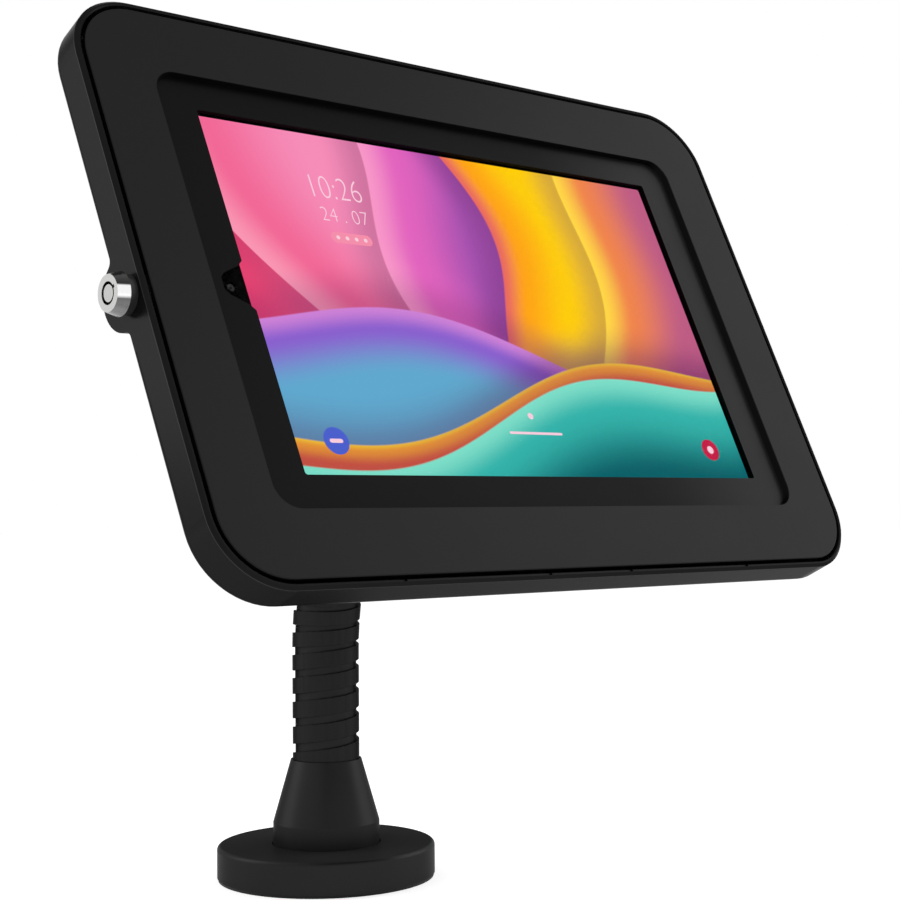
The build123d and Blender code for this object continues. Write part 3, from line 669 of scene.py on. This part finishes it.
def eased(value, low, high):
    """0 to 1, eased, as a value goes from low to high"""
    node = tree.nodes.new("ShaderNodeMapRange")
    node.interpolation_type = "SMOOTHSTEP"
    for name, share in (("From Min", low), ("From Max", high), ("Value", value)):
        feed(node.inputs[name], share)
    return node.outputs["Result"]


def wave(value, height, per_unit, phase):
    """a sine wave of another coordinate"""
    turns = math_node("MULTIPLY_ADD", value, per_unit, phase)
    return math_node("MULTIPLY", math_node("SINE", turns), height)


def shown(red, green, blue):
    """a screen colour, 0 to 255 each, as light"""
    shares = [part / 255 for part in (red, green, blue)]
    return [s / 12.92 if s < 0.0405 else ((s + 0.055) / 1.055) ** 2.4 for s in shares]


shadow_reach, shadow_colour = 0.28, shown(90, 30, 96)
middle_end, far_start = 0.35, 0.3
edge_blur = 0.012


def fold(under, depth, colours, width, shadow=0.35):
    """lays a fold over a colour where depth is positive, and its shadow beside it

    The colours are those of the fold's edge, its middle and its far side."""
    edge, middle, far = [(*shown(*colour), 1) for colour in colours]
    shade = math_node("MULTIPLY", eased(depth, -shadow_reach, 0.0), shadow)
    shaded = mixed(shade, under, (*shadow_colour, 1))
    own = mixed(eased(depth, 0.0, width * middle_end), edge, middle)
    own = mixed(eased(depth, width * far_start, width), own, far)
    return mixed(eased(depth, 0.0, edge_blur), shaded, own)


def slanted(lean, place, *bend):
    """how far a point lies to the right of a leaning wavy line"""
    line = math_node("MULTIPLY_ADD", upward, lean, across)
    return math_node("SUBTRACT", math_node("ADD", line, wave(upward, *bend)), place)


def raised(lean, place, *bend):
    """how far a point lies below a leaning wavy line"""
    line = math_node("MULTIPLY_ADD", across, lean, place)
    return math_node("SUBTRACT", math_node("ADD", line, wave(across, *bend)), upward)


ground = [(*shown(232, 66, 112), 1), (*shown(244, 128, 164), 1)]
picture = mixed(eased(across, -1.7, -0.5), *ground)
picture = fold(picture, slanted(0.55, -1.20, 0.22, 2.2, 0.4),
               [(250, 150, 180), (242, 104, 150), (246, 140, 184)], width=0.9, shadow=0.2)
picture = fold(picture, slanted(0.35, -0.42, 0.20, 2.7, 1.5),
               [(248, 150, 200), (226, 100, 190), (166, 82, 176)], width=0.7)
picture = fold(picture, slanted(0.15, 0.10, 0.16, 3.1, 3.0),
               [(232, 104, 96), (255, 164, 20), (255, 204, 8)], width=0.5)
picture = fold(picture, slanted(-0.25, 0.72, 0.14, 2.9, 4.4),
               [(255, 214, 70), (240, 132, 76), (190, 92, 132)], width=0.7)
picture = fold(picture, raised(-0.10, -0.25, 0.16, 1.9, 2.6),
               [(206, 130, 214), (138, 96, 206), (96, 168, 206)], width=0.4)
picture = fold(picture, raised(0.16, -0.52, 0.14, 2.1, 0.3),
               [(255, 206, 40), (250, 160, 30), (226, 96, 44)], width=0.12)
picture = fold(picture, raised(0.20, -0.62, 0.13, 2.3, 0.5),
               [(126, 222, 200), (52, 178, 170), (10, 96, 104)], width=0.6)
tree.links.new(picture, shader.inputs["Emission Color"])
screen_strength = 1.0
shader.inputs["Emission Strength"].default_value = screen_strength
dress(screen, "display_panel")

# Plain marks on the display, a hair above it: a clock's figures, a row of dots, a bar to
# slide and two round keys, cut from thin white and coloured film.
mark_gap = 0.03 * mm
film_evenness = 0.97
panel_turn = Matrix((Vector((1, 0, 0)), up, out)).transposed().to_4x4()
front_depth = max(v.co.dot(out) for v in nodes["display_panel"].data.vertices)
display_front = display_middle + out * (front_depth - display_middle.dot(out) + mark_gap)


def mark_film(name, colour):
    """lit film: dark itself, with hardly any change of its light over its length"""
    film, tree, shader = surface(name, unlit, 0.5, specular=0.0)
    ramp = tree.nodes.new("ShaderNodeValToRGB")
    for element, share in zip(ramp.color_ramp.elements, (film_evenness, 1.0)):
        element.color = (*[part * share for part in colour], 1)
    tree.links.new(noise(tree, 30), ramp.inputs["Fac"])
    tree.links.new(ramp.outputs["Color"], shader.inputs["Emission Color"])
    shader.inputs["Emission Strength"].default_value = screen_strength
    return film


def seated_mark(name, mesh, film):
    """gives a mark its film, and lets it move with the tablet"""
    mesh.materials.clear()
    mesh.materials.append(film)
    piece = bpy.data.objects.new(name, mesh)
    scene.collection.objects.link(piece)
    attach(piece, "head")


def flat_mark(name, outlines, film, layer=0):
    """thin film with an outline in mm across and up the display, from its middle"""
    sheet = bmesh.new()
    lift = out * mark_gap * layer
    for outline in outlines:
        points = [display_front + Vector((x, 0, 0)) * mm + up * y * mm + lift for x, y in outline]
        sheet.faces.new([sheet.verts.new(p) for p in points])
    mesh = bpy.data.meshes.new(name)
    sheet.to_mesh(mesh)
    sheet.free()
    seated_mark(name, mesh, film)


round_sides, pill_sides = 40, 14


def round_outline(x, y, radius):
    """a disc"""
    spots = [tau * i / round_sides for i in range(round_sides)]
    return [(x + radius * cos(spot), y + radius * sin(spot)) for spot in spots]


def pill_outline(x, y, width, height):
    """a bar with round ends"""
    half, reach = height / 2, width / 2 - height / 2
    spots = [pi * i / pill_sides for i in range(pill_sides + 1)]
    right = [(reach + half * sin(spot), half * cos(spot)) for spot in spots]
    left = [(-wide, -high) for wide, high in right]
    return [(x + wide, y + high) for wide, high in right + left]


def figure_mark(name, figures, x, y, height, width_share, thinner):
    """pale figures in thin strokes, with the middle of their foot at a place in mm"""
    curve = bpy.data.curves.new(name, "FONT")
    curve.body = figures
    curve.size = height * mm
    curve.offset = -thinner * mm
    curve.align_x = "CENTER"
    outline = bpy.data.objects.new(name + "_outline", curve)
    scene.collection.objects.link(outline)
    bpy.context.view_layer.update()
    mesh = bpy.data.meshes.new_from_object(outline)
    bpy.data.objects.remove(outline)
    foot = display_front + Vector((x, 0, 0)) * mm + up * y * mm
    narrowed = Matrix.Diagonal((width_share, 1, 1, 1))
    mesh.transform(Matrix.Translation(foot) @ panel_turn @ narrowed)
    seated_mark(name, mesh, pale_film)


pale_film = mark_film("pale_film", shown(250, 206, 222))
pink_film = mark_film("pink_film", shown(246, 144, 172))
blue_film = mark_film("blue_film", shown(76, 96, 206))
red_film = mark_film("red_film", shown(196, 34, 72))
figure_mark("clock_figures", "10:26", -58, 41, height=14, width_share=0.8, thinner=0.3)
figure_mark("day_figures", "24 . 07", -57, 31.5, height=8.5, width_share=0.9, thinner=0.18)
status_x, status_y = -57, 25
flat_mark("status_pill", [pill_outline(status_x, status_y, 18, 4.4)], pink_film)
status_dots = [round_outline(status_x - 6 + 4 * i, status_y, 0.8) for i in range(4)]
flat_mark("status_dots", status_dots, pale_film, layer=1)
flat_mark("slide_bar", [pill_outline(0, -50, 26, 1.0)], pale_film)
flat_mark("slide_ring", [round_outline(0, -43, 1.3)], pale_film)
key_y, left_key_x, right_key_x = -55, -91, 92
flat_mark("left_key", [round_outline(left_key_x, key_y, 5.0)], blue_film)
flat_mark("left_key_sign", [pill_outline(left_key_x, key_y, 5.4, 1.5)], pale_film, layer=1)
flat_mark("right_key", [round_outline(right_key_x, key_y, 4.6)], red_film)
flat_mark("right_key_sign", [round_outline(right_key_x, key_y, 1.7)], pale_film, layer=1)

# The faceplate is pressed from one steel sheet and coated, with its hooks and catch welded
# on. The slope down to its sunk panel, the panel and all that lies deeper carry painted shade,
# darker than its front; on the right, near the wide soft box, the panel gets a painted highlight up
# to the front's tone.
# painted shade by depth on the lock's side, blended towards the right, where the sunk panel gets a
# painted highlight
shade_from, shade_to = 40 * mm, 118 * mm
left_painted_shade_steps = [(0, 0.020), (0.3, 0.008), (2.4, 0.009), (2.7, 0.006), (6, 0.006)]
right_painted_shade_and_highlight_steps = [(0, 0.020), (0.3, 0.006), (2.4, 0.021), (2.7, 0.004), (6, 0.006)]
face_coat, tree, shader = black_coat("face_coat", grazing=0.6,
                                     smooth=satin_smooth, rough=satin_rough)
place, apart = tree.nodes.new("ShaderNodeTexCoord"), tree.nodes.new("ShaderNodeSeparateXYZ")
tree.links.new(place.outputs["Object"], apart.inputs["Vector"])
side = tree.nodes.new("ShaderNodeMapRange")
side.interpolation_type = "SMOOTHSTEP"
side.inputs["From Min"].default_value, side.inputs["From Max"].default_value = shade_from, shade_to
tree.links.new(apart.outputs["X"], side.inputs["Value"])
shades = tree.nodes.new("ShaderNodeMix")
shades.data_type = "RGBA"
tree.links.new(side.outputs["Result"], shades.inputs["Factor"])
tree.links.new(depth_steps(tree, left_painted_shade_steps), shades.inputs[first_colour])
tree.links.new(depth_steps(tree, right_painted_shade_and_highlight_steps), shades.inputs[second_colour])
tree.links.new(shades.outputs[mixed_colour], shader.inputs["Base Color"])
dress(face_coat, "faceplate", "hook_tabs", "catch_bracket")
